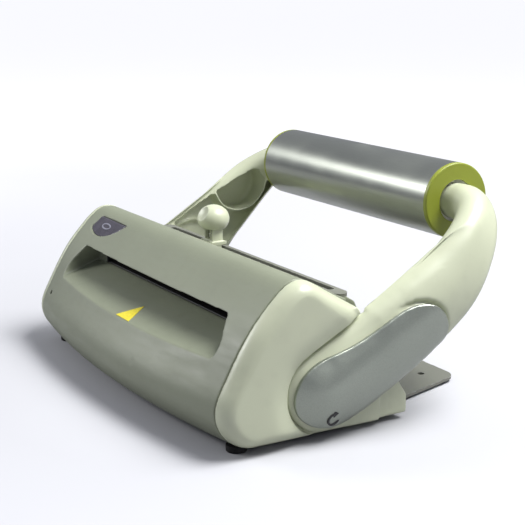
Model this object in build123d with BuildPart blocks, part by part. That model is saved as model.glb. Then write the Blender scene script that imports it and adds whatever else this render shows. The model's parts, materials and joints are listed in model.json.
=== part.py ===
from build123d import *
import os
from math import cos, radians, sin

os.makedirs("parts", exist_ok=True)

# Bench-top lever bag sealer with a sliding cutter.  Millimetres, +Z up.
# X runs along the machine, -Y is the operator's side, Z = 0 is the bench.

# ---------------------------------------------------------------- driving dimensions
SEAM_X = 138.0            # half length of the front cover
WALL = 2.5                # moulded wall thickness
GAP = 0.3                 # shut line between two mouldings
BOW = 11.5                # how far the nose bulges forward at the middle
NOSE_Z = 27.0             # height of the foremost line
RIDGE_Z = 100.0           # height of the top ridge
FLOOR_Z = 4.0             # underside of the housing
REAR_X = 117.7            # half length of the rear housing
DECK_Y = -16.0            # where the front cover's deck ends

PIVOT_Y, PIVOT_Z = -35.0, 31.0     # handle hinge axis
SHAFT_R = 6.0
HANDLE_TRAVEL = 22.0               # degrees, pressed down

TUBE_Y, TUBE_Z = 92.5, 128.0       # grip tube axis
TUBE_R = 25.0
TUBE_HALF = 104.0
RING_T = 3.0
NECK_R = 11.75
RUNNING = 0.05                     # radial clearance of a running fit

FILM_Z = 66.2             # the film slides on this level
FILM_GAP = 5.0            # height of the slot
FILM_X = 105.0            # half length of the slot

PRESS_TRAVEL = 5.5
CRANK_R = PRESS_TRAVEL / (2 * sin(radians(HANDLE_TRAVEL / 2)))
CRANK_PIN_R = 2.5
CRANK_X = 110.0           # inner face of each crank
CRANK_T = 2.2
LEG_X = 106.2             # inner face of each press leg
LEG_T = 3.0
CHASSIS_X = 113.0         # inner face of each chassis plate
CHASSIS_T = 2.0

JAW_Y = -21.0             # centre line of the sealing jaws
CUT_Y = -9.0              # centre line of the cutter rail
RAIL_Z = 80.6             # underside of the rail
RAIL_T = 2.4
RAIL_HALF = 124.0
KNOB_X = -44.0            # where the cutter stands at rest
KNOB_Z = 101.5
KNOB_R = 11.5
CUT_TRAVEL = 4.8

PLATE_Z = 2.0             # underside of the steel stabiliser plate
PLATE_HOLE_X, PLATE_HOLE_Y, PLATE_HOLE_R = 80.0, 86.0, 2.5
FOOT_R = 6.35
FOOT_PLACES = [(132.0, -88.0), (104.0, 24.0)]


def save(builder, name):
    """Label a finished piece and write its STEP file."""
    builder.part.label = name
    export_step(builder.part, f"parts/{name}.step")


def box_between(low, high, mode=Mode.ADD):
    """A block given by its lowest and highest corners."""
    size = [h - l for l, h in zip(low, high)]
    middle = tuple((h + l) / 2 for l, h in zip(low, high))
    with Locations(middle):
        Box(*size, mode=mode)


def both_sides(low, high, mode=Mode.ADD):
    """The same block on the right and, mirrored, on the left."""
    box_between(low, high, mode)
    box_between((-high[0], low[1], low[2]), (-low[0], high[1], high[2]), mode)


def rod_x(start, end, y, z, radius, mode=Mode.ADD):
    """A round bar along X from start to end."""
    with Locations(Location(((start + end) / 2, y, z), (0, 90, 0))):
        Cylinder(radius, abs(end - start), mode=mode)


# ---------------------------------------------------------------- the housing's form
# Side view of the front cover's end, from under the nose, up the face, over the
# ridge and back along the deck, as (y, z).
FACE = [(-88, 4.5), (-101.5, 14), (-106, NOSE_Z), (-100, 44), (-84, 71.5),
        (-69, 89), (-53, RIDGE_Z), (-40, 96.5), (DECK_Y, 84)]
STATIONS = [-1.0, -0.75, -0.4, 0.0, 0.4, 0.75, 1.0]


def inset(points, wall):
    """The same outline moved inward by the wall thickness."""
    moved = []
    for i, (y, z) in enumerate(points):
        before = points[max(i - 1, 0)]
        after = points[min(i + 1, len(points) - 1)]
        run = Vector(after[0] - before[0], after[1] - before[1]).normalized()
        moved.append((y + wall * run.Y, z - wall * run.X))
    return moved


def bowed(points, share):
    """Push the outline forward, most at the nose and not at all at the ridge."""
    bulge = BOW * (1 - share ** 2)
    span = RIDGE_Z - NOSE_Z
    return [(y - bulge * min(1, max(0, (RIDGE_Z - z) / span)) * (y < -50), z) for y, z in points]


def cover_section(points, tail, x):
    """A closed face: the curved outline, then straight edges behind and below."""
    with BuildSketch(Plane.YZ.offset(x)) as section:
        with BuildLine():
            Spline(points)
            Polyline(points[-1], *tail, points[0])
        make_face()
    return section.sketch


outer_sections = []
inner_sections = []
for share in STATIONS:
    outline = bowed(FACE, share)
    outer_sections.append(cover_section(outline, [(DECK_Y, outline[0][1])], share * SEAM_X))
    outline = bowed(inset(FACE, WALL), share)
    rear = DECK_Y + 6
    tail = [(rear, outline[-1][1] - 3), (rear, 0), (outline[0][0], 0)]
    inner_sections.append(cover_section(outline, tail, share * (SEAM_X + 2)))

with BuildPart() as outer_form:
    loft(outer_sections)

with BuildPart() as inner_form:
    loft(inner_sections)

# ---------------------------------------------------------------- the feed recess
MOUTH_TOP_Z, MOUTH_TOP_X = 77.2, 108.8
MOUTH_LOW_Z, MOUTH_LOW_X = 54.0, 125.0
RAMP_TOP_Y, RAMP_TOP_Z = -67.0, 63.8   # where the ramp meets the slot's black liner
RAMP_SLOPE = 0.345
LIP_Y = -79.6             # foremost line of the upper lip


def recess_form(grow):
    """The wedge of air over the ramp, or with grow the walls around it."""
    top_z, low_z = MOUTH_TOP_Z + grow, MOUTH_LOW_Z - grow
    top_x, low_x = MOUTH_TOP_X + grow, MOUTH_LOW_X + grow
    back_y, front_y = RAMP_TOP_Y + grow, -145
    ceiling_z = FILM_Z + FILM_GAP + grow
    lip_rise = (MOUTH_TOP_Z - FILM_Z - FILM_GAP) / (RAMP_TOP_Y - LIP_Y)
    with BuildPart() as form:
        with BuildSketch(Plane.XZ.offset(-back_y)) as mouth:
            with BuildLine():
                Polyline((-low_x, low_z), (-top_x, top_z), (top_x, top_z), (low_x, low_z))
                ThreePointArc((low_x, low_z), (0, low_z - 26), (-low_x, low_z))
            make_face()
            fillet(mouth.vertices().group_by(Axis.Y)[0], 12)
        extrude(amount=80)
        with BuildSketch(Plane.YZ):
            with BuildLine():
                Polyline((back_y, RAMP_TOP_Z - grow), (back_y, ceiling_z),
                         (front_y, ceiling_z + lip_rise * (RAMP_TOP_Y - front_y)),
                         (front_y, RAMP_TOP_Z - grow + RAMP_SLOPE * (front_y - RAMP_TOP_Y)), close=True)
            make_face()
        extrude(amount=SEAM_X, both=True, mode=Mode.INTERSECT)
    return form.part


recess_air = recess_form(0)

with BuildPart() as recess_walls:
    add(recess_form(WALL))
    add(outer_form.part, mode=Mode.INTERSECT)

# ---------------------------------------------------------------- power button outline
# The button lies on the upper left of the face, on a plane parallel to it there.
BUTTON_PLANE = Plane(origin=(-101, -66.5, 90.6), x_dir=(1, 0, 0), z_dir=(0, -0.74, 0.672))
BUTTON_THICK = 3.0
BUTTON_SINK = 2.2         # how deep the button's underside lies in the face
SWITCH_SINK = 8.2
SWITCH_DEEP = 7.0


def button_outline(grow, height):
    """A leaf: two straight edges at the top left and one long curve below."""
    with BuildSketch(BUTTON_PLANE.offset(height)) as leaf:
        with BuildLine():
            Polyline((-23 - grow, -4), (-19 - grow, 6.5 + grow), (25 + grow, 6 + grow))
            Spline((25 + grow, 6 + grow), (12, -5 - grow), (-6, -9 - grow), (-23 - grow, -4))
        make_face()
    return leaf.sketch


# ---------------------------------------------------------------- front cover
LED_X, LED_Z = -127.0, 40.0
with BuildPart() as front_cover:
    add(outer_form.part)
    add(inner_form.part, mode=Mode.SUBTRACT)
    add(recess_walls.part)
    add(recess_air, mode=Mode.SUBTRACT)
    box_between((-FILM_X, RAMP_TOP_Y - 1, RAMP_TOP_Z), (FILM_X, -50, FILM_Z + FILM_GAP), Mode.SUBTRACT)
    extrude(button_outline(GAP, 0), amount=12, both=True, mode=Mode.SUBTRACT)
    with Locations(Location((LED_X, -100, LED_Z), (90, 0, 0))):
        Cylinder(1.6, 20, mode=Mode.SUBTRACT)
save(front_cover, "front_cover")

with BuildPart() as status_led:
    with Locations(Location((LED_X, -98.8, LED_Z), (90, 0, 0))):
        Cylinder(1.5, 5)
        with Locations((0, 0, -3.5)):
            Cylinder(2.2, 2)
save(status_led, "status_led")

with BuildPart() as power_button:
    extrude(button_outline(0, -BUTTON_SINK), amount=BUTTON_THICK)
    fillet(power_button.faces().sort_by(Axis.Z)[-1].edges(), 0.8)
    with BuildSketch(BUTTON_PLANE.offset(-BUTTON_SINK)):
        Circle(3)
    extrude(amount=-4)
save(power_button, "power_button")

with BuildPart() as button_mark:
    with BuildSketch(BUTTON_PLANE.offset(BUTTON_THICK - BUTTON_SINK)):
        with Locations((-2, 0)):
            Ellipse(7, 2.6)
            Ellipse(5.6, 1.5, mode=Mode.SUBTRACT)
    extrude(amount=0.15)
save(button_mark, "button_mark")

with BuildPart() as power_switch:
    with BuildSketch(BUTTON_PLANE.offset(-SWITCH_SINK)):
        Rectangle(13, 9)
    extrude(amount=-SWITCH_DEEP)
    with BuildSketch(BUTTON_PLANE.offset(-SWITCH_SINK - SWITCH_DEEP)):
        with GridLocations(8, 5, 2, 2):
            Circle(0.5)
    extrude(amount=-3)
save(power_switch, "power_switch")

# The liner's front lip rises from the top of the ramp to the film's level.
LINER_LIP = 0.2           # gap between the liner's nose and its opening
LINER_END_Y = -44.0
with BuildPart() as slot_liner:
    box_between((-FILM_X - 2, RAMP_TOP_Y + WALL + GAP, RAMP_TOP_Z - 2.4),
                (FILM_X + 2, LINER_END_Y, FILM_Z + FILM_GAP + 2.4))
    box_between((-FILM_X + LINER_LIP, RAMP_TOP_Y + LINER_LIP, RAMP_TOP_Z + LINER_LIP),
                (FILM_X - LINER_LIP, -60, FILM_Z + FILM_GAP - LINER_LIP))
    with BuildSketch(Plane.YZ.offset(-FILM_X + 1.6)):
        with BuildLine():
            Polyline((-70, RAMP_TOP_Z + 0.9), (-60, FILM_Z + 0.1), (LINER_END_Y + 1, FILM_Z + 0.1),
                     (LINER_END_Y + 1, FILM_Z + FILM_GAP - 0.1), (-70, FILM_Z + FILM_GAP - 0.1), close=True)
        make_face()
    extrude(amount=2 * (FILM_X - 1.6), mode=Mode.SUBTRACT)
save(slot_liner, "slot_liner")

TRIANGLE_X, TRIANGLE_Y = 3.0, -97.0
TRIANGLE_Z = RAMP_TOP_Z + RAMP_SLOPE * (TRIANGLE_Y - RAMP_TOP_Y) + 0.02
TRIANGLE_PLANE = Plane(origin=(TRIANGLE_X, TRIANGLE_Y, TRIANGLE_Z), x_dir=(1, 0, 0),
                       z_dir=(0, -RAMP_SLOPE, 1))
with BuildPart() as warning_triangle:
    with BuildSketch(TRIANGLE_PLANE):
        RegularPolygon(11.5, 3, rotation=90)
    extrude(amount=0.25)
save(warning_triangle, "warning_triangle")

# ---------------------------------------------------------------- rear housing
REAR = [(DECK_Y + GAP, 79.5), (-3, 79.5), (4, 75), (31, FLOOR_Z + 10), (31, FLOOR_Z + 3.4)]
with BuildPart() as rear_housing:
    with BuildSketch(Plane.YZ.offset(-REAR_X)):
        with BuildLine():
            Polyline(*REAR, (DECK_Y + GAP, FLOOR_Z + 3.4), close=True)
        make_face()
    extrude(amount=2 * REAR_X)
    with BuildSketch(Plane.YZ.offset(-REAR_X + WALL)):
        with BuildLine():
            Polyline((DECK_Y - 5, 77), (-3.8, 77), (1.9, 73.4), (28.5, 13.5), (28.5, 0),
                     (DECK_Y - 5, 0), close=True)
        make_face()
    extrude(amount=2 * (REAR_X - WALL), mode=Mode.SUBTRACT)
    box_between((-113, CUT_Y - 4.6, 70), (113, CUT_Y + 4.6, 90), Mode.SUBTRACT)
    box_between((-FILM_X, -5, FILM_Z), (FILM_X, 14, FILM_Z + FILM_GAP), Mode.SUBTRACT)
    with Locations(Location((0, 20, 45), (0, 0, 0))):
        with GridLocations(9, 9, 12, 3):
            Box(5, 60, 3, mode=Mode.SUBTRACT)
    box_between((62, 20, 10), (90, 40, 30), Mode.SUBTRACT)
save(rear_housing, "rear_housing")

with BuildPart() as mains_inlet:
    box_between((62.3, 14, 10.3), (89.7, 31.5, 29.7))
    with BuildSketch(Plane.XZ.offset(-32)):
        with Locations((76, 20)):
            RectangleRounded(19, 11, 3)
    extrude(amount=12, mode=Mode.SUBTRACT)
    with BuildSketch(Plane.XZ.offset(-28)):
        with Locations((72.5, 16.7), (79.5, 16.7)):
            Circle(1.1)
    extrude(amount=9)
save(mains_inlet, "mains_inlet")

# ---------------------------------------------------------------- base
SCREW_R = 1.5
SCREW_PLACES = [(60.0, -50.0), (60.0, 20.0), (94.0, -50.0)]


def screw_holes():
    """Clearance for the case screws, drilled on both sides."""
    for x, y in SCREW_PLACES:
        with Locations((x, y, 5), (-x, y, 5)):
            Cylinder(SCREW_R, 10, mode=Mode.SUBTRACT)


with BuildPart() as base_tray:
    box_between((-SEAM_X + 3, -86, FLOOR_Z), (SEAM_X - 3, DECK_Y, FLOOR_Z + 3))
    box_between((-REAR_X, DECK_Y, FLOOR_Z), (REAR_X, 31, FLOOR_Z + 3))
    screw_holes()
save(base_tray, "base_tray")

with BuildPart() as stabiliser_plate:
    with BuildSketch(Plane.XY.offset(PLATE_Z)) as outline:
        Polygon((-118, -60), (118, -60), (118, 30), (94, 105), (-94, 105), (-118, 30), align=None)
        fillet(outline.vertices().group_by(Axis.Y)[-1], 12)
        with GridLocations(2 * PLATE_HOLE_X, 0, 2, 1):
            with Locations((0, PLATE_HOLE_Y)):
                Circle(PLATE_HOLE_R, mode=Mode.SUBTRACT)
        for x, y in FOOT_PLACES[1:]:
            with Locations((x, y), (-x, y)):
                Circle(FOOT_R + 0.5, mode=Mode.SUBTRACT)
    extrude(amount=FLOOR_Z - PLATE_Z)
    screw_holes()
save(stabiliser_plate, "stabiliser_plate")

with BuildPart() as rubber_feet:
    for x, y in FOOT_PLACES:
        with Locations((x, y, FLOOR_Z / 2), (-x, y, FLOOR_Z / 2)):
            Cylinder(FOOT_R, FLOOR_Z)
    fillet(rubber_feet.faces().group_by(Axis.Z)[0].edges(), 0.8)
save(rubber_feet, "rubber_feet")

# ---------------------------------------------------------------- side caps
# The cap closes the housing's end.  Its side view repeats the cover's face and
# then runs down the back; its rear part reaches in to meet the rear housing.
CAP_X = 150.5             # outermost face
CAP_ROUND = 9.0           # how far the dome draws in at its outermost face
DISH_X = 141.6            # floor of the dish that the arm's hub turns in
HUB_R = 25.5
CAP_SIDE = FACE[:-2] + [(-42, 97.5)]


def cap_outline(x, wall):
    """The cap's side view on the plane at x, moved inward by wall."""
    face = inset(CAP_SIDE, wall)
    rear_y = 31 - wall
    with BuildSketch(Plane.YZ.offset(x)) as side:
        with BuildLine():
            Spline(face)
            Polyline(face[-1], (-12.5 - wall, 80 - wall), (rear_y, 16 + wall / 3), (rear_y, FLOOR_Z + wall),
                     (face[0][0] + wall, FLOOR_Z + wall), face[0])
        make_face()
    return side.sketch


CAP_DEPTH = CAP_X - SEAM_X - GAP
dome_sections = []
for turn in (0, 28, 52, 74, 90):
    x = SEAM_X + GAP + CAP_DEPTH * sin(radians(turn))
    dome_sections.append(cap_outline(x, CAP_ROUND * (1 - cos(radians(turn)))))

with BuildPart() as side_cap_right:
    loft(dome_sections)
    with BuildSketch(Plane.YZ.offset(REAR_X + GAP)):
        with BuildLine():
            Polyline((DECK_Y + GAP, FLOOR_Z), (DECK_Y + GAP, 80), (-12.5, 80), (31, 16), (31, FLOOR_Z),
                     close=True)
        make_face()
    extrude(amount=SEAM_X - REAR_X + 8)
    with BuildSketch(Plane.XY):
        Polygon((136, 60), (SEAM_X + 1, 8), (170, 8), (170, 60), align=None)
    extrude(amount=120, mode=Mode.SUBTRACT)
    extrude(cap_outline(SEAM_X, 3), amount=DISH_X - SEAM_X - 3, mode=Mode.SUBTRACT)
    box_between((REAR_X + GAP + 3, DECK_Y + 4, FLOOR_Z + 3.2), (SEAM_X - 3, 12, 60), Mode.SUBTRACT)
    with BuildSketch(Plane.YZ.offset(DISH_X)):
        with Locations((PIVOT_Y, PIVOT_Z)):
            Circle(HUB_R + 1.5)
        Polygon((PIVOT_Y - 11.4, PIVOT_Z + 24.9), (-5.8, 77.6), (60, 110), (60, -10), (-12, -10),
                (PIVOT_Y + 3, PIVOT_Z - 28.5), align=None)
    extrude(amount=20, mode=Mode.SUBTRACT)
    rod_x(SEAM_X - 2, CAP_X, PIVOT_Y, PIVOT_Z, SHAFT_R + 1, Mode.SUBTRACT)
save(side_cap_right, "side_cap_right")

with BuildPart() as side_cap_left:
    mirror(side_cap_right.part, about=Plane.YZ)
save(side_cap_left, "side_cap_left")

# ---------------------------------------------------------------- handle arms
# Stations along the right arm: centre (x, y, z), heading in the side view in
# degrees, lean towards the tube in degrees, half height and half thickness.
ARM = [
    (147.8, -62, 19, 24, 0, 30, 5.4),
    (147.8, -48, 25, 24, 0, 30, 5.4),
    (147.8, PIVOT_Y, PIVOT_Z, 24, 0, 29, 5.6),
    (147.9, -20, 38, 26, 0, 28.5, 5.7),
    (148.2, -5, 45.5, 28, 0, 28, 6.0),
    (148.6, 10, 54, 31, 0, 27.5, 6.6),
    (149.0, 25, 63.5, 35, 0, 27, 7.5),
    (148.9, 38, 73, 39, 4, 26, 8.6),
    (147.6, 50.5, 83.5, 42, 9, 24, 9.8),
    (145.0, 62, 94.5, 45, 16, 21.6, 10.7),
    (141.0, 73, 105.5, 47, 26, 18.8, 11.2),
    (135.5, 82, 115, 49, 40, 16.2, 11.5),
    (128.5, 88.2, 122, 50, 56, 14.0, 11.7),
    (120.5, 91.6, 126.6, 50, 74, 12.4, 11.75),
    (112.0, TUBE_Y, TUBE_Z, 50, 88, 11.8, 11.75),
    (104.0, TUBE_Y, TUBE_Z, 50, 90, 11.75, 11.75),
    (96.0, TUBE_Y, TUBE_Z, 50, 90, 11.75, 11.75),
]


def arm_sections(stations, narrow, thick, shift):
    """Rounded sections square to the arm, narrowed, thickened and moved outward."""
    sections = []
    for x, y, z, heading, lean, half_high, half_thick in stations:
        a, b = radians(heading), radians(lean)
        along = Vector(-sin(b), cos(a) * cos(b), sin(a) * cos(b))
        upward = Vector(0, -sin(a), cos(a))
        outward = upward.cross(along) * -1
        high, deep = half_high - narrow, half_thick + thick
        place = Plane(origin=Vector(x, y, z) + outward * shift, x_dir=upward, z_dir=along)
        with BuildSketch(place) as section:
            RectangleRounded(2 * high, 2 * deep, 0.96 * min(high, deep))
        sections.append(section.sketch)
    return sections


NECK_X = 105.0            # the round neck runs inward from here
CHANNEL_X = 124.0         # the channel stops short of the elbow
BOSS_Y, BOSS_Z = 62.5, 106.0       # round rib in the channel
BOSS_OUTER_R, BOSS_INNER_R = 20.6, 19.2
with BuildPart() as arm_channel:
    loft(arm_sections(ARM, 3, 0, -3))
    with BuildSketch(Plane.YZ.offset(CHANNEL_X)):
        Polygon((8, 40), (8, 120), (140, 120), (140, 40), align=None)
    extrude(amount=40, mode=Mode.INTERSECT)
    with BuildSketch(Plane.YZ.offset(CHANNEL_X)):
        with Locations((BOSS_Y, BOSS_Z)):
            Circle(BOSS_OUTER_R)
            Circle(BOSS_INNER_R, mode=Mode.SUBTRACT)
    extrude(amount=40, mode=Mode.SUBTRACT)

with BuildPart() as arm_right:
    loft(arm_sections(ARM, 0, 0, 0))
    rod_x(90, NECK_X, TUBE_Y, TUBE_Z, 30, Mode.SUBTRACT)
    rod_x(NECK_X - 9, NECK_X + 5, TUBE_Y, TUBE_Z, NECK_R)
    with BuildSketch(Plane.YZ.offset(80)):
        with Locations((PIVOT_Y, PIVOT_Z)):
            Circle(HUB_R)
        Polygon((PIVOT_Y - 10.4, PIVOT_Z + 23.3), (-5, 75.5), (10, 150), (140, 150), (140, 30), (10, 20),
                (-4, 13), (PIVOT_Y + 10, PIVOT_Z - 23.5), align=None)
    extrude(amount=100, mode=Mode.INTERSECT)
    add(arm_channel.part, mode=Mode.SUBTRACT)
    rod_x(130, 160, PIVOT_Y, PIVOT_Z, SHAFT_R, Mode.SUBTRACT)
    rod_x(90, 115, TUBE_Y, TUBE_Z, 6, Mode.SUBTRACT)
save(arm_right, "arm_right")

with BuildPart() as arm_left:
    mirror(arm_right.part, about=Plane.YZ)
save(arm_left, "arm_left")

COVER_T = 2.6
ARROW_R = 4.0
ARROW_X = 155.4           # floor of the shallow pocket that holds the arrow mark


def arrow_outline():
    """A curved arrow, open at its rear quarter, beside the hinge."""
    with BuildSketch(Plane.YZ.offset(ARROW_X)) as mark:
        with Locations((PIVOT_Y + 2, PIVOT_Z - 15.5)):
            Circle(ARROW_R + 0.6)
            Circle(ARROW_R - 0.6, mode=Mode.SUBTRACT)
            Polygon((0, 0), (0, 9), (9, 9), (9, -3), align=None, mode=Mode.SUBTRACT)
            Polygon((-1.2, ARROW_R - 2.2), (-1.2, ARROW_R + 2.2), (2.2, ARROW_R), align=None)
    return mark.sketch


with BuildPart() as hub_cover_right:
    loft(arm_sections(ARM, 0, COVER_T, 0))
    with BuildSketch(Plane.YZ.offset(147.8)):
        with BuildLine():
            Spline((-57.3, 31), (-49, 46.5), (-25, 56.5), (0, 68), (20, 78), (35, 77.5), (45.5, 65),
                   (46, 48), (36, 38), (14, 28), (-6, 13.5), (-24, 9.3), (-45, 11.5), periodic=True)
        make_face()
    extrude(amount=30, mode=Mode.INTERSECT)
    loft(arm_sections(ARM, 0, 0, 0), mode=Mode.SUBTRACT)
    extrude(arrow_outline(), amount=6, mode=Mode.SUBTRACT)
save(hub_cover_right, "hub_cover_right")

with BuildPart() as hub_cover_left:
    mirror(hub_cover_right.part, about=Plane.YZ)
save(hub_cover_left, "hub_cover_left")

with BuildPart() as pivot_shaft:
    rod_x(-152, 152, PIVOT_Y, PIVOT_Z, SHAFT_R)
save(pivot_shaft, "pivot_shaft")

with BuildPart() as pivot_bushes:
    for side in (-1, 1):
        rod_x(side * (CHASSIS_X - 0.5), side * (CHASSIS_X + 4), PIVOT_Y, PIVOT_Z, 9)
    rod_x(-130, 130, PIVOT_Y, PIVOT_Z, SHAFT_R + RUNNING, Mode.SUBTRACT)
save(pivot_bushes, "pivot_bushes")

with BuildPart() as grip_axle:
    rod_x(-114, 114, TUBE_Y, TUBE_Z, 6)
save(grip_axle, "grip_axle")

# ---------------------------------------------------------------- grip
with BuildPart() as grip_tube:
    rod_x(-TUBE_HALF + RING_T, TUBE_HALF - RING_T, TUBE_Y, TUBE_Z, TUBE_R)
    rod_x(-TUBE_HALF, TUBE_HALF, TUBE_Y, TUBE_Z, TUBE_R - 1.8, Mode.SUBTRACT)
save(grip_tube, "grip_tube")

with BuildPart() as grip_bushes:
    for side in (-1, 1):
        rod_x(side * 88, side * (TUBE_HALF - RING_T), TUBE_Y, TUBE_Z, TUBE_R - 1.8)
    rod_x(-104, 104, TUBE_Y, TUBE_Z, NECK_R + RUNNING, Mode.SUBTRACT)
save(grip_bushes, "grip_bushes")

for side, name in ((-1, "grip_ring_left"), (1, "grip_ring_right")):
    with BuildPart() as grip_ring:
        rod_x(side * (TUBE_HALF - RING_T), side * TUBE_HALF, TUBE_Y, TUBE_Z, TUBE_R)
        fillet(grip_ring.edges().filter_by(GeomType.CIRCLE).sort_by(lambda e: side * e.center().X)[-1], 1.0)
        rod_x(-110, 110, TUBE_Y, TUBE_Z, NECK_R + 2.2, Mode.SUBTRACT)
    save(grip_ring, name)

# ---------------------------------------------------------------- chassis and drive
with BuildPart() as chassis_right:
    with BuildSketch(Plane.YZ.offset(CHASSIS_X)):
        with BuildLine():
            Polyline((-56, 7), (-56, 62), (-50, 80), (-18, 78), (-18, 70), (-5.8, 70), (-5.8, 50), (-17, 38),
                     (-17, 7), close=True)
        make_face()
        with Locations((PIVOT_Y, PIVOT_Z)):
            Circle(9, mode=Mode.SUBTRACT)
    extrude(amount=CHASSIS_T)
    box_between((CHASSIS_X - 12, -56, 7), (CHASSIS_X, -48, 9))
    box_between((CHASSIS_X - 12, -30, 7), (CHASSIS_X, -17, 9))
save(chassis_right, "chassis_right")

with BuildPart() as chassis_left:
    mirror(chassis_right.part, about=Plane.YZ)
save(chassis_left, "chassis_left")

CRANK_REST = HANDLE_TRAVEL / 2
PIN_Y = PIVOT_Y + CRANK_R * cos(radians(CRANK_REST))
PIN_Z = PIVOT_Z + CRANK_R * sin(radians(CRANK_REST))
with BuildPart() as crank_right:
    with BuildSketch(Plane.YZ.offset(CRANK_X)):
        with Locations((PIVOT_Y, PIVOT_Z)):
            Circle(10)
        with Locations((PIN_Y, PIN_Z)):
            Circle(4.5)
        Polygon((PIVOT_Y, PIVOT_Z + 9.9), (PIN_Y, PIN_Z + 4.4), (PIN_Y, PIN_Z - 4.4),
                (PIVOT_Y, PIVOT_Z - 9.9), align=None)
        with Locations((PIVOT_Y, PIVOT_Z)):
            Circle(SHAFT_R, mode=Mode.SUBTRACT)
    extrude(amount=CRANK_T)
    rod_x(LEG_X - 1.0, CRANK_X, PIN_Y, PIN_Z, CRANK_PIN_R)
save(crank_right, "crank_right")

with BuildPart() as crank_left:
    mirror(crank_right.part, about=Plane.YZ)
save(crank_left, "crank_left")

with BuildPart() as press_legs:
    with BuildSketch(Plane.YZ.offset(LEG_X)):
        Polygon((-27.5, 26.5), (-27.5, 41), (-13.5, 41), (-13.5, 72), (-27, 72), (-27, 81), (-16.4, 81),
                (-16.4, 76.4), (-7.5, 76.4), (-7.5, 26.5), align=None)
        with Locations((PIN_Y + 0.13, PIN_Z)):
            Rectangle(2 * CRANK_PIN_R + 1.2, 2 * CRANK_PIN_R + 0.3, mode=Mode.SUBTRACT)
    extrude(amount=LEG_T)
    mirror(about=Plane.YZ)
save(press_legs, "press_legs")

PAD_Z, BAR_Z, BAR_TOP_Z = 72.0, 75.0, 81.0        # levels of the upper jaw
BEAM_Z, INSULATOR_Z, HEATER_Z = 44.0, 50.0, 57.0  # levels of the lower jaw
HEATER_TOP_Z = 65.9
ROD_Z, ROD_R = 60.5, 1.6
with BuildPart() as press_bar:
    box_between((-LEG_X, JAW_Y - 6, BAR_Z), (LEG_X, JAW_Y + 4.6, BAR_TOP_Z))
    box_between((-LEG_X + 4, JAW_Y - 3.5, BAR_Z + 2.5), (LEG_X - 4, JAW_Y + 3.5, BAR_TOP_Z), Mode.SUBTRACT)
save(press_bar, "press_bar")

with BuildPart() as press_pad:
    box_between((-103, JAW_Y - 3, PAD_Z), (103, JAW_Y + 3, BAR_Z))
    fillet(press_pad.faces().sort_by(Axis.Z)[0].edges().filter_by(Axis.X), 0.8)
save(press_pad, "press_pad")

with BuildPart() as heater_beam:
    box_between((-CHASSIS_X, JAW_Y - 5.5, BEAM_Z), (CHASSIS_X, JAW_Y + 5.5, INSULATOR_Z))
    box_between((-CHASSIS_X + 6, JAW_Y - 3.5, BEAM_Z), (CHASSIS_X - 6, JAW_Y + 3.5, INSULATOR_Z - WALL),
                Mode.SUBTRACT)
save(heater_beam, "heater_beam")

with BuildPart() as heater_insulator:
    box_between((-104, JAW_Y - 5, INSULATOR_Z), (104, JAW_Y + 5, HEATER_Z))
save(heater_insulator, "heater_insulator")

with BuildPart() as heater_bar:
    box_between((-104, JAW_Y - 4, HEATER_Z), (104, JAW_Y + 4, HEATER_TOP_Z))
    chamfer(heater_bar.faces().sort_by(Axis.Z)[-1].edges().filter_by(Axis.X), 1)
    rod_x(-104, 104, JAW_Y, ROD_Z, ROD_R, Mode.SUBTRACT)
save(heater_bar, "heater_bar")

with BuildPart() as heating_rod:
    rod_x(-106, 102, JAW_Y, ROD_Z, ROD_R)
save(heating_rod, "heating_rod")

with BuildPart() as nonstick_strip:
    box_between((-104, JAW_Y - 2.8, HEATER_TOP_Z), (104, JAW_Y + 2.8, FILM_Z - RUNNING))
save(nonstick_strip, "nonstick_strip")

GUIDE_LOW_Z, GUIDE_TOP_Z = 56.0, 66.0
GUIDE_X = LEG_X + LEG_T + GAP
with BuildPart() as press_guides:
    both_sides((GUIDE_X, -15.2, GUIDE_LOW_Z), (CHASSIS_X, -5.8, GUIDE_TOP_Z))
    both_sides((LEG_X, -15.2, GUIDE_LOW_Z), (GUIDE_X, -13.9, GUIDE_TOP_Z))
    both_sides((LEG_X, -7.1, GUIDE_LOW_Z), (GUIDE_X, -5.8, GUIDE_TOP_Z))
save(press_guides, "press_guides")

with BuildPart() as return_springs:
    for start in (-104, 85):
        with BuildLine() as coil:
            Helix(3.6, 18, 9.2, center=(start, PIVOT_Y, PIVOT_Z), direction=(1, 0, 0))
        with BuildSketch(Plane(origin=coil.line @ 0, z_dir=coil.line % 0)):
            Circle(1.1)
        sweep(path=coil.line)
save(return_springs, "return_springs")

with BuildPart() as transformer:
    box_between((-66, -84, 9), (-22, -54, 41))
    box_between((-60, -88, 14), (-28, -50, 36))
    box_between((-70, -78, 7), (-18, -60, 9))
save(transformer, "transformer")

BOARD_Z = 13.6            # top of the circuit board
COMPONENTS = [(20, -75, 14, 10, 14), (42, -66, 10, 16, 16), (62, -76, 12, 8, 10), (80, -66, 8, 20, 12)]
with BuildPart() as control_board:
    box_between((5, -86, BOARD_Z - 1.6), (90, -52, BOARD_Z))
    for x, y, wide, deep, high in COMPONENTS:
        box_between((x - wide / 2, y - deep / 2, BOARD_Z), (x + wide / 2, y + deep / 2, BOARD_Z + high))
    for x in (9, 86):
        for y in (-82, -56):
            with Locations((x, y, 9.5)):
                Cylinder(2, 5)
save(control_board, "control_board")

SWITCH_X = CHASSIS_X + CHASSIS_T    # the microswitch is screwed to the plate's outer face
with BuildPart() as press_microswitch:
    box_between((SWITCH_X, -54, 44), (SWITCH_X + 8, -34, 55))
    box_between((SWITCH_X + 2, -50, 42), (SWITCH_X + 6, -36, 43))
    box_between((SWITCH_X + 3, -50, 43), (SWITCH_X + 5, -48, 44))
save(press_microswitch, "press_microswitch")

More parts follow.
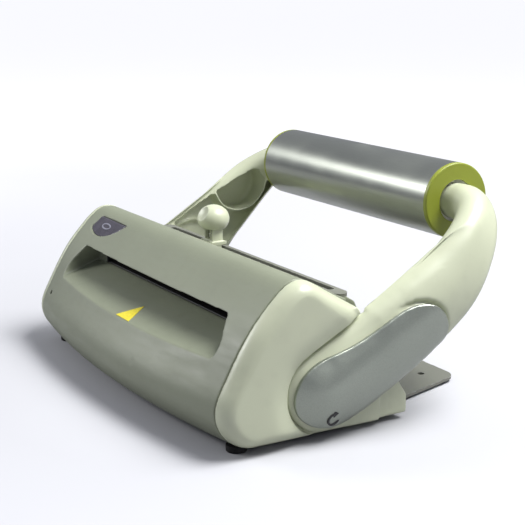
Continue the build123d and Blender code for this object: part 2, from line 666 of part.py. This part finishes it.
# ---------------------------------------------------------------- cutter
SLOT_HALF = 112.0
ANVIL_HALF = 104.5
with BuildPart() as cutter_rail:
    with BuildSketch(Plane.XY.offset(RAIL_Z)):
        with Locations((0, CUT_Y)):
            SlotOverall(2 * RAIL_HALF, 11)
            SlotOverall(2 * SLOT_HALF, 5, mode=Mode.SUBTRACT)
    extrude(amount=RAIL_T)
save(cutter_rail, "cutter_rail")

with BuildPart() as cutter_anvil:
    box_between((-ANVIL_HALF, CUT_Y - 4, 61), (ANVIL_HALF, CUT_Y + 4, FILM_Z))
    box_between((-ANVIL_HALF, CUT_Y - 0.7, 63), (ANVIL_HALF, CUT_Y + 0.7, FILM_Z), Mode.SUBTRACT)
    both_sides((88, CUT_Y - 3, FLOOR_Z + 3), (96, CUT_Y + 3, 61))
save(cutter_anvil, "cutter_anvil")

WINDOW_X = 4.8            # half width of the carriage's window
STEM_R = 2.2
with BuildPart() as cutter_carriage:
    box_between((KNOB_X - 8.6, CUT_Y - 6, RAIL_Z + RAIL_T + 0.3), (KNOB_X + 8.6, CUT_Y + 6, 85.8))
    box_between((KNOB_X - 6.2, CUT_Y - 4.2, 85.8), (KNOB_X + 6.2, CUT_Y + 4.2, 97))
    box_between((KNOB_X - WINDOW_X, CUT_Y - 7, 86.4), (KNOB_X + WINDOW_X, CUT_Y + 7, 94.6), Mode.SUBTRACT)
    for x in (-2.2, 2.2):
        box_between((KNOB_X + x - 0.3, CUT_Y - 4.2, 86), (KNOB_X + x + 0.3, CUT_Y - 3.6, 95))
    for side in (-1, 1):
        x = KNOB_X + side * 7
        box_between((x - 1.5, CUT_Y - 2.1, 77), (x + 1.5, CUT_Y + 2.1, RAIL_Z + RAIL_T + 0.4))
        box_between((x - 1.5, CUT_Y - 4, 76.6), (x + 1.5, CUT_Y + 4, 79.6))
    with Locations((KNOB_X, CUT_Y, 90)):
        Cylinder(STEM_R + RUNNING, 20, mode=Mode.SUBTRACT)
    box_between((KNOB_X - 4.3, CUT_Y - 1.2, 70), (KNOB_X + 4.3, CUT_Y + 1.2, 86.6), Mode.SUBTRACT)
save(cutter_carriage, "cutter_carriage")

COLLAR_Z = 94.0           # the collar on the stem that the spring pushes up
BLADE_TOP_Z = 76.0
KNOB_HALF_HIGH = 10.0
KNOB_HOLLOW_R = 7.9       # moulded hollow inside, which clears the carriage
DIMPLE_R = 20.0           # the thumb's dimple, facing the operator and up
DIMPLE_AT = 28.5          # from the knob's centre to the dimple's centre of curvature
DIMPLE_TILT = 30          # degrees above level
with BuildPart() as cutter_knob:
    with BuildSketch(Plane(origin=(KNOB_X, CUT_Y, KNOB_Z), x_dir=(1, 0, 0), z_dir=(0, -1, 0))):
        with BuildLine():
            Line((0, KNOB_HALF_HIGH), (0, -KNOB_HALF_HIGH))
            EllipticalCenterArc((0, 0), KNOB_R, KNOB_HALF_HIGH, start_angle=-90, arc_size=180)
        make_face()
    revolve(axis=Axis((KNOB_X, CUT_Y, 0), (0, 0, 1)))
    with Locations((KNOB_X, CUT_Y, KNOB_Z - 5.3)):
        Cylinder(KNOB_HOLLOW_R, 12.4, mode=Mode.SUBTRACT)
    with Locations((KNOB_X, CUT_Y, COLLAR_Z)):
        Cylinder(STEM_R, 20)
        Cylinder(STEM_R + 1.1, 1)
    box_between((KNOB_X - 4, CUT_Y - 0.9, BLADE_TOP_Z), (KNOB_X + 4, CUT_Y + 0.9, 84.5))
    with Locations((KNOB_X, CUT_Y - DIMPLE_AT * cos(radians(DIMPLE_TILT)),
                    KNOB_Z + DIMPLE_AT * sin(radians(DIMPLE_TILT)))):
        Sphere(DIMPLE_R, mode=Mode.SUBTRACT)
save(cutter_knob, "cutter_knob")

with BuildPart() as cutter_blade:
    with BuildSketch(Plane.XZ.offset(-CUT_Y - 0.25)):
        Polygon((KNOB_X - 3.6, BLADE_TOP_Z), (KNOB_X - 3.6, 73), (KNOB_X, 71), (KNOB_X + 3.6, 73),
                (KNOB_X + 3.6, BLADE_TOP_Z), align=None)
    extrude(amount=0.5)
save(cutter_blade, "cutter_blade")

with BuildPart() as cutter_spring:
    with BuildLine() as coil:
        Helix(1.9, 5.7, 3.0, center=(KNOB_X, CUT_Y, 87.3))
    with BuildSketch(Plane(origin=coil.line @ 0, z_dir=coil.line % 0)):
        Circle(0.4)
    sweep(path=coil.line)
save(cutter_spring, "cutter_spring")

# ---------------------------------------------------------------- trim and fasteners
with BuildPart() as arrow_marks:
    extrude(arrow_outline(), amount=0.9)
    mirror(about=Plane.YZ)
save(arrow_marks, "arrow_marks")

with BuildPart() as case_screws:
    for x, y in SCREW_PLACES:
        with Locations((x, y, 1.3), (-x, y, 1.3)):
            Cylinder(2.8, 1.4)
        with Locations((x, y, 7), (-x, y, 7)):
            Cylinder(SCREW_R, 10)
save(case_screws, "case_screws")
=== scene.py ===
"""Looks of the lever bag sealer: shells rounded off, moulded detail, materials, studio and camera."""
import json
import math

import bmesh
import bpy
import numpy as np
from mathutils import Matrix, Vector
from mathutils.kdtree import KDTree


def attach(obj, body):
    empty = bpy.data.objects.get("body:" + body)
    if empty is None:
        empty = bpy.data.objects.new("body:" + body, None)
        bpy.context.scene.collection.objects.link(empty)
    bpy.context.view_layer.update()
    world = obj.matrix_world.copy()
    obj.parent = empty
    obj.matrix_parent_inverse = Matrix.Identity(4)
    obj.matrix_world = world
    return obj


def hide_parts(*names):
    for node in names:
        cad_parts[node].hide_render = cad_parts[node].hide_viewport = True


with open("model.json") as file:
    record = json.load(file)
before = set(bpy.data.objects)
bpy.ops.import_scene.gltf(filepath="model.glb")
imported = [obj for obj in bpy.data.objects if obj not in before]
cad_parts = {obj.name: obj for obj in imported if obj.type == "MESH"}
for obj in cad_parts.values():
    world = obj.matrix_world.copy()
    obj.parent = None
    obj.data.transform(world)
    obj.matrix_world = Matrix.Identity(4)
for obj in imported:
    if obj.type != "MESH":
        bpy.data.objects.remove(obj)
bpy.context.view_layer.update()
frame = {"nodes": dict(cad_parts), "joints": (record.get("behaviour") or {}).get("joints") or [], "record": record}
NODES = frame["nodes"]
BODY_OF = {
    node: body for body, members in frame["record"]["behaviour"]["bodies"].items() for node in members
}
SLOT_OF = {entry["node"]: entry["material_slot"] for entry in frame["record"]["subparts"]}
MM = 0.001


# ---------------------------------------------------------------- materials
class Recipe:
    """One node material, built step by step on a Principled shader."""

    def __init__(self, name):
        self.material = bpy.data.materials.new(name)
        self.material.use_nodes = True
        self.tree = self.material.node_tree
        self.shader = self.tree.nodes["Principled BSDF"]
        self.place = self.tree.nodes.new("ShaderNodeTexCoord").outputs["Object"]

    def node(self, kind, **settings):
        """A new shader node with its settings."""
        made = self.tree.nodes.new(kind)
        for key, value in settings.items():
            setattr(made, key, value)
        return made

    def join(self, source, target):
        self.tree.links.new(source, target)

    def stretched(self, scale):
        """Object coordinates scaled per axis, so that a texture runs along one of them."""
        mapping = self.node("ShaderNodeMapping")
        mapping.inputs["Scale"].default_value = scale
        self.join(self.place, mapping.inputs["Vector"])
        return mapping.outputs["Vector"]

    def noise(self, scale, detail=3.0, place=None):
        made = self.node("ShaderNodeTexNoise")
        made.inputs["Scale"].default_value = scale
        made.inputs["Detail"].default_value = detail
        self.join(place or self.place, made.inputs["Vector"])
        return made.outputs["Fac"]

    def ranged(self, value, low, high, start=0.3, stop=0.7):
        """Maps a 0..1 value onto low..high."""
        made = self.node("ShaderNodeMapRange")
        for key, number in (("From Min", start), ("From Max", stop), ("To Min", low), ("To Max", high)):
            made.inputs[key].default_value = number
        self.join(value, made.inputs["Value"])
        return made.outputs["Result"]

    def mixed(self, factor, first, second):
        """A colour between two colours, each a tuple or a socket."""
        made = self.node("ShaderNodeMix", data_type="RGBA")
        self.join(factor, made.inputs["Factor"])
        for key, colour in ((6, first), (7, second)):
            if isinstance(colour, tuple):
                made.inputs[key].default_value = (*colour, 1.0)
            else:
                self.join(colour, made.inputs[key])
        return made.outputs[2]

    def edge_wear(self, radius):
        """1 on worn outer edges, 0 on the flats, broken up by noise."""
        bevel = self.node("ShaderNodeBevel", samples=4)
        bevel.inputs["Radius"].default_value = radius
        geometry = self.node("ShaderNodeNewGeometry")
        dot = self.node("ShaderNodeVectorMath", operation="DOT_PRODUCT")
        self.join(bevel.outputs["Normal"], dot.inputs[0])
        self.join(geometry.outputs["Normal"], dot.inputs[1])
        edge = self.ranged(dot.outputs["Value"], 1.0, 0.0, 0.80, 0.995)
        broken = self.node("ShaderNodeMath", operation="MULTIPLY")
        self.join(edge, broken.inputs[0])
        self.join(self.ranged(self.noise(260, 4), 0.0, 1.0, 0.42, 0.62), broken.inputs[1])
        return broken.outputs["Value"]

    def bumped(self, layers):
        """Stacks (height, distance, strength) layers into the shader's normal."""
        below = None
        for height, distance, strength in layers:
            bump = self.node("ShaderNodeBump")
            bump.inputs["Distance"].default_value = distance
            bump.inputs["Strength"].default_value = strength
            self.join(height, bump.inputs["Height"])
            if below:
                self.join(below, bump.inputs["Normal"])
            below = bump.outputs["Normal"]
        self.join(below, self.shader.inputs["Normal"])

    def set(self, **values):
        """Sets sockets of the shader by name, with _ for each space."""
        for key, value in values.items():
            self.shader.inputs[key.replace("_", " ")].default_value = value


def shade(colour, factor):
    """A lighter or darker tone of a colour."""
    return tuple(min(1.0, channel * factor) for channel in colour)


def moulded(name, colour, rough, grain=2600, relief=0.00002, wear=0.12, specular=0.5, coat=0.0):
    """Moulded plastic: fine mould grain, slow colour drift, faint scuffs and lighter rubbed edges."""
    made = Recipe(name)
    drift = made.mixed(made.ranged(made.noise(14, 2), 0.0, 1.0), shade(colour, 0.965), shade(colour, 1.035))
    dust = made.mixed(made.ranged(made.noise(95, 6), 0.0, 0.5, 0.52, 0.75), drift, shade(colour, 0.9))
    worn = made.edge_wear(0.0009)
    softened = made.node("ShaderNodeMath", operation="MULTIPLY")
    softened.inputs[1].default_value = wear
    made.join(worn, softened.inputs[0])
    made.join(made.mixed(softened.outputs["Value"], dust, shade(colour, 1.6)), made.shader.inputs["Base Color"])
    scuffs = made.noise(40, 8, made.stretched((1.0, 3.0, 6.0)))
    made.join(made.ranged(scuffs, rough * 0.86, min(1.0, rough * 1.16)), made.shader.inputs["Roughness"])
    made.bumped([(made.noise(grain, 2), relief, 0.5), (made.noise(55, 2), 0.00006, 0.12)])
    made.set(Specular_IOR_Level=specular, Coat_Weight=coat, Coat_Roughness=0.22)
    return made.material


def brushed(name, colour, rough, along=(1.0, 60.0, 60.0), anisotropic=0.4, relief=0.00001, metallic=1.0):
    """Drawn or ground metal: fine lines along one axis, smudges in the gloss."""
    made = Recipe(name)
    lines = made.noise(90, 5, made.stretched(along))
    made.join(
        made.mixed(made.ranged(lines, 0.0, 1.0), shade(colour, 0.93), shade(colour, 1.05)),
        made.shader.inputs["Base Color"],
    )
    smudge = made.ranged(made.noise(30, 5), rough * 0.85, rough * 1.2)
    made.join(smudge, made.shader.inputs["Roughness"])
    made.bumped([(lines, relief, 0.35)])
    made.set(Metallic=metallic, Anisotropic=anisotropic)
    return made.material


def silver_paint():
    """Satin silver paint on plastic: a metallic base with fine flake under a thin clear coat."""
    made = Recipe("silver_paint")
    colour = (0.36, 0.39, 0.335)
    flake = made.node("ShaderNodeTexVoronoi")
    flake.inputs["Scale"].default_value = 5200
    made.join(made.place, flake.inputs["Vector"])
    sparkle = made.ranged(flake.outputs["Color"], 0.0, 1.0, 0.1, 0.9)
    base = made.mixed(sparkle, shade(colour, 0.86), shade(colour, 1.14))
    worn = made.node("ShaderNodeMath", operation="MULTIPLY")
    worn.inputs[1].default_value = 0.3
    made.join(made.edge_wear(0.0008), worn.inputs[0])
    made.join(made.mixed(worn.outputs["Value"], base, (0.62, 0.63, 0.58)), made.shader.inputs["Base Color"])
    made.join(made.ranged(made.noise(45, 6), 0.3, 0.42), made.shader.inputs["Roughness"])
    made.bumped([(made.noise(900, 3), 0.00002, 0.35)])
    made.set(Metallic=0.75, Coat_Weight=0.2, Coat_Roughness=0.25)
    return made.material


def powder_coat():
    """Dark olive powder coat: orange-peel relief, chipped to bare steel along the edges."""
    made = Recipe("olive_steel")
    colour = (0.165, 0.17, 0.14)
    base = made.mixed(made.ranged(made.noise(30, 3), 0.0, 1.0), shade(colour, 0.9), shade(colour, 1.12))
    chips = made.edge_wear(0.0007)
    made.join(made.mixed(chips, base, (0.42, 0.42, 0.4)), made.shader.inputs["Base Color"])
    made.join(made.ranged(made.noise(60, 5), 0.36, 0.5), made.shader.inputs["Roughness"])
    made.bumped([(made.noise(1400, 2), 0.00005, 0.5)])
    made.set(Metallic=0.0)
    return made.material


def smoked_lens():
    """Smoked purple-grey button cap: a cloudy dark body under a polished clear coat."""
    made = Recipe("lens_plastic")
    cloud = made.ranged(made.noise(120, 3), 0.0, 1.0)
    made.join(made.mixed(cloud, (0.055, 0.05, 0.062), (0.085, 0.078, 0.098)), made.shader.inputs["Base Color"])
    made.join(made.ranged(made.noise(70, 5), 0.16, 0.3), made.shader.inputs["Roughness"])
    made.bumped([(made.noise(300, 3), 0.00002, 0.25)])
    made.set(Coat_Weight=0.4, Coat_Roughness=0.08)
    return made.material


def rubber(name, colour):
    """Moulded rubber with bloom and a dull skin."""
    made = Recipe(name)
    bloom = made.ranged(made.noise(160, 6), 0.0, 1.0, 0.45, 0.75)
    made.join(made.mixed(bloom, colour, shade(colour, 2.4)), made.shader.inputs["Base Color"])
    made.join(made.ranged(made.noise(500, 3), 0.62, 0.85), made.shader.inputs["Roughness"])
    made.bumped([(made.noise(2400, 3), 0.00004, 0.5)])
    made.set(Specular_IOR_Level=0.35)
    return made.material


def printed(name, colour):
    """Pad-printed ink: slightly uneven cover, a touch glossier than the shell below."""
    made = Recipe(name)
    made.join(
        made.mixed(made.ranged(made.noise(700, 4), 0.0, 1.0), shade(colour, 0.86), shade(colour, 1.05)),
        made.shader.inputs["Base Color"],
    )
    made.join(made.ranged(made.noise(220, 4), 0.34, 0.5), made.shader.inputs["Roughness"])
    made.bumped([(made.noise(1800, 3), 0.00001, 0.4)])
    return made.material


def woven_film():
    """Non-stick film on woven glass: a fine square weave in brown."""
    made = Recipe("tan_film")
    wave = made.node("ShaderNodeTexWave", wave_type="BANDS", bands_direction="X")
    wave.inputs["Scale"].default_value = 320
    cross = made.node("ShaderNodeTexWave", wave_type="BANDS", bands_direction="Y")
    cross.inputs["Scale"].default_value = 320
    weave = made.node("ShaderNodeMath", operation="MULTIPLY")
    for index, band in enumerate((wave, cross)):
        made.join(made.place, band.inputs["Vector"])
        made.join(band.outputs["Fac"], weave.inputs[index])
    made.join(
        made.mixed(weave.outputs["Value"], (0.2, 0.13, 0.06), (0.34, 0.24, 0.12)),
        made.shader.inputs["Base Color"],
    )
    made.join(made.ranged(made.noise(90, 4), 0.3, 0.45), made.shader.inputs["Roughness"])
    made.bumped([(weave.outputs["Value"], 0.00003, 0.6)])
    return made.material


def laminate(name, dark, light, rough):
    """Layered board, such as a circuit board or a phenolic strip."""
    made = Recipe(name)
    layers = made.noise(40, 6, made.stretched((1.0, 1.0, 40.0)))
    made.join(made.mixed(made.ranged(layers, 0.0, 1.0), dark, light), made.shader.inputs["Base Color"])
    made.join(made.ranged(made.noise(90, 4), rough * 0.85, rough * 1.15), made.shader.inputs["Roughness"])
    made.bumped([(layers, 0.00005, 0.4)])
    return made.material


SAGE = (0.232, 0.252, 0.180)
CREAM = (0.53, 0.56, 0.405)
MATERIALS = {
    "sage_shell": moulded("sage_shell", SAGE, 0.47, wear=0.10, relief=0.00003),
    "cream_shell": moulded("cream_shell", CREAM, 0.34, grain=3200, relief=0.00001, wear=0.05, coat=0.12),
    "silver_paint": silver_paint(),
    "satin_aluminium": brushed("satin_aluminium", (0.42, 0.44, 0.39), 0.33, anisotropic=0.35, metallic=0.9),
    "lime_plastic": moulded("lime_plastic", (0.27, 0.31, 0.035), 0.36, wear=0.12),
    "olive_steel": powder_coat(),
    "black_plastic": moulded("black_plastic", (0.012, 0.012, 0.013), 0.45, wear=0.03),
    "lens_plastic": smoked_lens(),
    "pale_mark": printed("pale_mark", (0.26, 0.26, 0.32)),
    "dark_mark": printed("dark_mark", (0.03, 0.03, 0.03)),
    "yellow_mark": printed("yellow_mark", (0.80, 0.68, 0.05)),
    "foot_rubber": rubber("foot_rubber", (0.012, 0.012, 0.012)),
    "silicone": rubber("silicone", (0.36, 0.09, 0.05)),
    "zinc_steel": brushed("zinc_steel", (0.56, 0.57, 0.58), 0.34, along=(1.0, 1.0, 30.0)),
    "bright_steel": brushed("bright_steel", (0.62, 0.62, 0.62), 0.22),
    "spring_steel": brushed("spring_steel", (0.36, 0.36, 0.37), 0.3, along=(8.0, 8.0, 8.0)),
    "nylon": moulded("nylon", (0.78, 0.77, 0.70), 0.42, wear=0.0),
    "phenolic": laminate("phenolic", (0.13, 0.06, 0.025), (0.21, 0.11, 0.05), 0.45),
    "tan_film": woven_film(),
    "copper_and_iron": laminate("copper_and_iron", (0.10, 0.07, 0.05), (0.34, 0.17, 0.08), 0.5),
    "circuit_board": laminate("circuit_board", (0.01, 0.07, 0.03), (0.02, 0.12, 0.05), 0.35),
}


def dress(piece, slot):
    """Gives a piece the material of a slot of the record."""
    piece.data.materials.clear()
    piece.data.materials.append(MATERIALS[slot])
    piece.data.polygons.foreach_set("material_index", [0] * len(piece.data.polygons))


for node_name, node_object in NODES.items():
    dress(node_object, SLOT_OF[node_name])


# ---------------------------------------------------------------- shells with rounded edges
HUB_ROUND = 25 * MM       # width of the rounding along the rim of each arm's hub
HUB_DROP = 10 * MM        # how far the hub's rim lies below its middle
CAP_ROUND = 15 * MM       # width of the hollow that the side caps have around the hubs
CAP_DROP = 4.5 * MM
FACE_LOW, FACE_HIGH = 142.5 * MM, 150 * MM    # only outer faces beyond these are lowered
FADE_START, FADE_STOP = 42 * MM, 78 * MM      # the hub's form fades out along the arm
GROOVE_WIDE = 2.4 * MM    # shadow gap round the rear end of each hub cover
GROOVE_DEEP = 3.0 * MM
GROOVE_START, GROOVE_STOP = 8 * MM, 26 * MM
GROOVE_FLOOR = 147 * MM
CELL = 1.3 * MM
PIVOT = Vector(next(joint["pos_m"] for joint in frame["joints"] if joint["name"] == "handle_hinge"))
BORE_CLEAR = 10 * MM      # the shaft's bore isn't part of the outline


def rim_tree(mesh):
    """Search tree of the outline of a dense mesh, seen along X."""
    filled = {(round(v.co.y / CELL), round(v.co.z / CELL)) for v in mesh.vertices}
    steps = ((1, 0), (-1, 0), (0, 1), (0, -1))
    rim = [c for c in filled if any((c[0] + dy, c[1] + dz) not in filled for dy, dz in steps)]
    rim = [c for c in rim if math.hypot(c[0] * CELL - PIVOT.y, c[1] * CELL - PIVOT.z) > BORE_CLEAR]
    tree = KDTree(len(rim))
    for index, (row, column) in enumerate(rim):
        tree.insert((0.0, row * CELL, column * CELL), index)
    tree.balance()
    return tree


def smoothstep(value, start, stop):
    """0 before start, 1 past stop, and an even curve between."""
    share = min(1.0, max(0.0, (value - start) / (stop - start)))
    return share * share * (3 - 2 * share)


def evened(mesh, values, rounds):
    """Averages a value per vertex with its neighbours', again and again."""
    ends = np.zeros(len(mesh.edges) * 2, int)
    mesh.edges.foreach_get("vertices", ends)
    first, second = ends[0::2], ends[1::2]
    count = len(values)
    degree = np.maximum(1, np.bincount(first, minlength=count) + np.bincount(second, minlength=count))
    for _ in range(rounds):
        total = np.bincount(first, values[second], count) + np.bincount(second, values[first], count)
        values = 0.4 * values + 0.6 * total / degree
    return values


def lowered(mesh, tree, width, drop, rounds=30):
    """Lowers outer faces towards the hub's outline, deepest on the outline itself."""
    depths = np.zeros(len(mesh.vertices))
    for index, vertex in enumerate(mesh.vertices):
        x, y, z = vertex.co
        distance = tree.find((0.0, y, z))[2]
        if distance < width:
            depth = drop * (1 - distance / width) ** 2
            depths[index] = depth * (1 - smoothstep(y, FADE_START, FADE_STOP))
    depths = evened(mesh, depths, rounds)
    for vertex, depth in zip(mesh.vertices, depths):
        x = vertex.co.x
        vertex.co.x = math.copysign(abs(x) - depth * smoothstep(abs(x), FACE_LOW, FACE_HIGH), x)


def grooved(mesh, tree):
    """Cuts a shadow gap into the arm behind the rear end of its hub cover."""
    cuts = np.zeros(len(mesh.vertices))
    for index, vertex in enumerate(mesh.vertices):
        x, y, z = vertex.co
        distance = tree.find((0.0, y, z))[2]
        if distance < GROOVE_WIDE and abs(x) > GROOVE_FLOOR:
            cut = GROOVE_DEEP * smoothstep(y, GROOVE_START, GROOVE_STOP)
            cuts[index] = cut * (1 - smoothstep(distance, 0.35 * GROOVE_WIDE, GROOVE_WIDE))
    for vertex, cut in zip(mesh.vertices, evened(mesh, cuts, 3)):
        vertex.co.x = math.copysign(abs(vertex.co.x) - cut, vertex.co.x)


def applied(piece):
    """Turns the modifiers of a piece into its mesh."""
    graph = bpy.context.evaluated_depsgraph_get()
    mesh = bpy.data.meshes.new_from_object(piece.evaluated_get(graph))
    piece.modifiers.clear()
    piece.data = mesh
    return piece


def twin(node, suffix):
    """A welded copy of a CAD node, dressed like it, that stands in its place."""
    piece = bpy.data.objects.new(node + suffix, NODES[node].data.copy())
    bpy.context.scene.collection.objects.link(piece)
    welded = bmesh.new()
    welded.from_mesh(piece.data)
    bmesh.ops.remove_doubles(welded, verts=welded.verts, dist=0.002 * MM)
    welded.to_mesh(piece.data)
    welded.free()
    return piece


def finished(piece, node, smooth=True):
    """Dresses a twin and lets it ride with its body in its node's place."""
    for polygon in piece.data.polygons:
        polygon.use_smooth = smooth
    dress(piece, SLOT_OF[node])
    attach(piece, BODY_OF[node])
    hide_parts(node)
    return piece


def remeshed(piece, voxel):
    """Gives a piece an even mesh of squares, one voxel wide."""
    remesh = piece.modifiers.new("remesh", "REMESH")
    remesh.mode = "VOXEL"
    remesh.voxel_size = voxel * MM
    remesh.adaptivity = 0.0
    return applied(piece)


def softened(node, voxel, passes, keep=0.5, shape=None, last=None):
    """A copy of a moulded part with every edge rounded and, if asked, its form changed."""
    piece = twin(node, "_shell")
    remeshed(piece, voxel)
    if shape:
        shape(piece.data)
    smooth = piece.modifiers.new("smooth", "SMOOTH")
    smooth.factor = 0.5
    smooth.iterations = passes
    if last:
        last(applied(piece).data)
    thin = piece.modifiers.new("thin", "DECIMATE")
    thin.ratio = keep
    applied(piece)
    return finished(piece, node)


def shaped_side(side):
    """The arm's hub, its cover and the cap around it, rounded as one form."""
    trees = {}

    def arm_shape(mesh):
        trees["arm"] = rim_tree(mesh)
        hub_shape(mesh)

    def cover_shape(mesh):
        trees["cover"] = rim_tree(mesh)
        hub_shape(mesh)

    def hub_shape(mesh):
        lowered(mesh, trees["arm"], HUB_ROUND, HUB_DROP)

    def cap_shape(mesh):
        lowered(mesh, trees["arm"], CAP_ROUND, CAP_DROP)

    def gap(mesh):
        grooved(mesh, trees["cover"])

    arm = twin("arm_" + side, "_outline")
    remeshed(arm, 0.8)
    trees["arm"] = rim_tree(arm.data)
    bpy.data.objects.remove(arm)
    softened("hub_cover_" + side, 0.5, 8, 0.4, cover_shape)
    softened("arm_" + side, 0.8, 12, 0.4, arm_shape, gap)
    softened("side_cap_" + side, 0.9, 10, 0.35, cap_shape)
    return trees["arm"]


SOFTENED = {          # node: voxel in millimetres, rounds of smoothing, share of faces kept
    "front_cover": (0.65, 9, 0.22),
    "rear_housing": (0.8, 4, 0.35),
    "cutter_knob": (0.4, 5, 0.6),
    "cutter_carriage": (0.25, 2, 0.4),
    "power_button": (0.3, 4, 0.5),
    "slot_liner": (0.5, 3, 0.35),
}
hub_tree = shaped_side("left")
shaped_side("right")
arrows = twin("arrow_marks", "_print")
lowered(arrows.data, hub_tree, HUB_ROUND, HUB_DROP)
finished(arrows, "arrow_marks", smooth=False)
for node_name, (voxel, passes, kept) in SOFTENED.items():
    softened(node_name, voxel, passes, kept)


# ---------------------------------------------------------------- studio
MIDDLE = (0.0, 0.0, 0.06)             # the point that every lamp faces
LAMPS = [                             # name, place, size in metres and power in watts
    ("overhead", (0.38, 0.48, 1.15), (0.8, 0.6), 31.0),
    ("front_left", (-0.95, -1.05, 0.75), (0.6, 0.4), 10.0),
    ("right", (1.5, 0.5, 0.9), (0.5, 0.5), 0.8),
]
SKY_COLOUR = (0.82, 0.85, 1.0, 1.0)
SKY_STRENGTH = 0.30
FLOOR_REACH = 30.0
FLOOR_DULL = (0.34, 0.34, 0.36)       # what the object's underside and reflections see
FLOOR_PALE = ((0.50, 0.503, 0.525), (0.515, 0.518, 0.54))
GLOW_START, GLOW_STOP = 0.2, 1.5      # the floor brightens with distance, up to the horizon
GLOW_STRENGTH = 0.85
GLOW_COLOUR = (0.97, 0.97, 1.0, 1.0)
CAMERA_PLACE = (0.7325, -0.4186, 0.2713)
CAMERA_TILT, CAMERA_TURN = 77.003, 59.887    # degrees
LENS, SENSOR = 85.19, 36.0            # millimetres


def softbox(name, place, size, power):
    """A rectangular studio light that faces the object."""
    lamp = bpy.data.lights.new(name, "AREA")
    lamp.shape = "RECTANGLE"
    lamp.size, lamp.size_y = size
    lamp.energy = power
    holder = bpy.data.objects.new(name, lamp)
    holder.location = place
    holder.rotation_mode = "QUATERNION"
    holder.rotation_quaternion = (Vector(MIDDLE) - Vector(place)).to_track_quat("-Z", "Y")
    bpy.context.scene.collection.objects.link(holder)


def paper_floor():
    """A pale sheet that fades into a bright distance for the camera alone."""
    floor_mesh = bpy.data.meshes.new("floor")
    reach = FLOOR_REACH
    corners = [(-reach, -reach, 0), (reach, -reach, 0), (reach, reach, 0), (-reach, reach, 0)]
    floor_mesh.from_pydata(corners, [], [(0, 1, 2, 3)])
    floor = bpy.data.objects.new("floor", floor_mesh)
    bpy.context.scene.collection.objects.link(floor)
    paper = Recipe("paper")
    seen = paper.node("ShaderNodeLightPath").outputs["Is Camera Ray"]
    fibre = paper.ranged(paper.noise(3, 2), 0.0, 1.0)
    white = paper.mixed(fibre, *FLOOR_PALE)
    paper.join(paper.mixed(seen, FLOOR_DULL, white), paper.shader.inputs["Base Color"])
    far = paper.node("ShaderNodeVectorMath", operation="LENGTH")
    paper.join(paper.place, far.inputs[0])
    glow = paper.node("ShaderNodeMath", operation="MULTIPLY")
    brightened = paper.ranged(far.outputs["Value"], 0.0, GLOW_STRENGTH, GLOW_START, GLOW_STOP)
    paper.join(brightened, glow.inputs[0])
    paper.join(seen, glow.inputs[1])
    paper.join(glow.outputs["Value"], paper.shader.inputs["Emission Strength"])
    paper.shader.inputs["Emission Color"].default_value = GLOW_COLOUR
    paper.set(Roughness=0.9, Specular_IOR_Level=0.1)
    floor.data.materials.append(paper.material)


def sky():
    """A faint bluish light from all around."""
    world = bpy.data.worlds.new("studio")
    world.use_nodes = True
    background = world.node_tree.nodes["Background"]
    background.inputs["Color"].default_value = SKY_COLOUR
    background.inputs["Strength"].default_value = SKY_STRENGTH
    bpy.context.scene.world = world


def main_camera():
    """The camera of the main view, low and to the right of the operator."""
    lens = bpy.data.cameras.new("camera")
    lens.lens = LENS
    lens.sensor_width = SENSOR
    lens.clip_end = 100.0
    camera = bpy.data.objects.new("camera", lens)
    camera.location = CAMERA_PLACE
    camera.rotation_euler = (math.radians(CAMERA_TILT), 0.0, math.radians(CAMERA_TURN))
    bpy.context.scene.collection.objects.link(camera)
    bpy.context.scene.camera = camera


paper_floor()
sky()
for lamp_name, lamp_place, lamp_size, lamp_power in LAMPS:
    softbox(lamp_name, lamp_place, lamp_size, lamp_power)
main_camera()
bpy.context.scene.view_settings.view_transform = "Standard"
